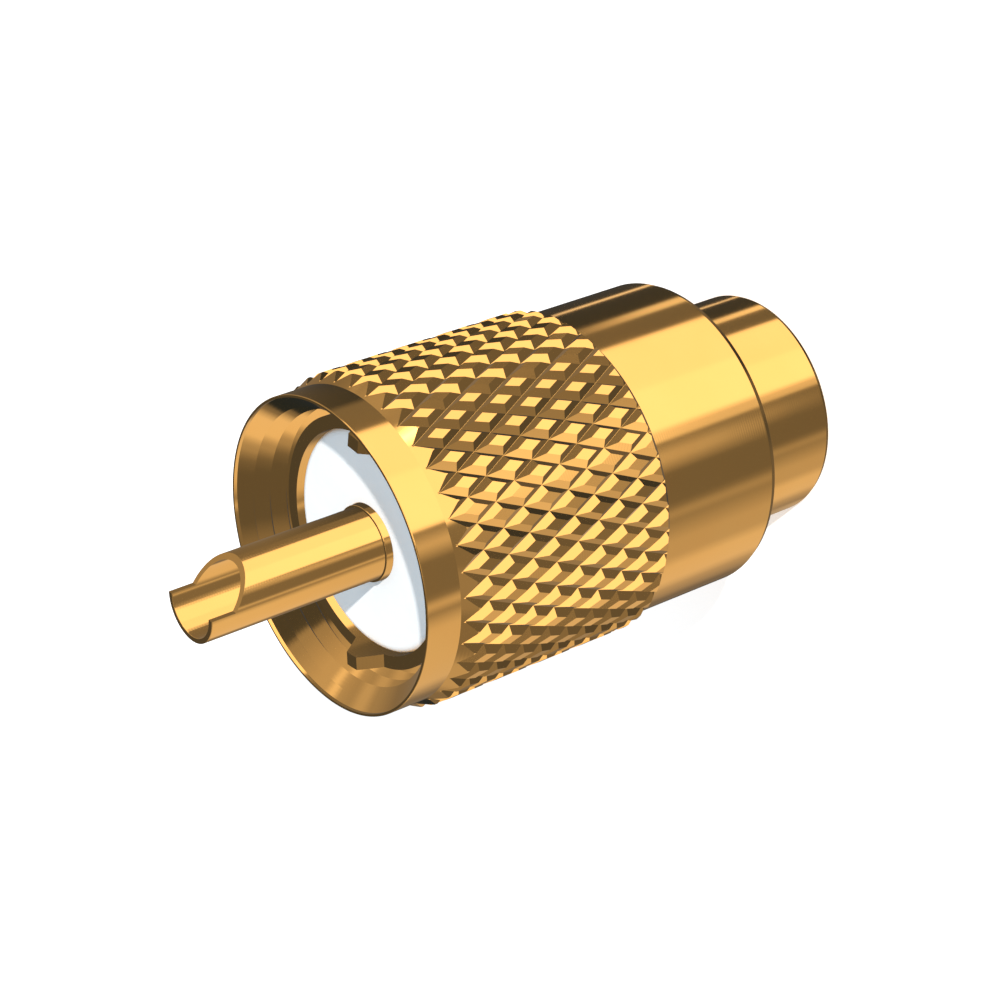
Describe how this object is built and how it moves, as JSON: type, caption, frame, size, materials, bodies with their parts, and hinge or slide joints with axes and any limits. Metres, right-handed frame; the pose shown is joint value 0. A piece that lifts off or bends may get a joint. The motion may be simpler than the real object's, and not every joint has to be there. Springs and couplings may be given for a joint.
{
  "type": "uhf coaxial plug",
  "caption": "Gold-plated UHF coaxial plug with a diamond-knurled coupling ring that turns on the body, a white insulator and a hollow centre pin.",
  "frame": {"origin": "centre of the tail's end face, where the cable enters and on which the plug stands", "axes": "+Z along the plug's axis from the cable end to the tip of the centre pin; -Y is the open side of the pin's solder trough; +X completes the right-handed frame"},
  "size_m": [0.0184, 0.0184, 0.0381],
  "materials": {
    "gold_plated_ring": "bright gold plate on knurled, turned brass",
    "gold_plated_body": "bright gold plate on turned brass",
    "insulator": "white machined fluoropolymer",
    "gold_plated_pin": "bright gold plate on a brass tube"
  },
  "bodies": {
    "plug": {"plug_body": "gold_plated_body", "insulator": "insulator", "contact_pin": "gold_plated_pin"},
    "ring": {"coupling_ring": "gold_plated_ring"}
  },
  "joints": [
    {"name": "ring_spin", "type": "hinge", "parent": "plug", "child": "ring", "pos_m": [0, 0, 0.007], "axis": [0, 0, 1], "continuous": true}
  ]
}
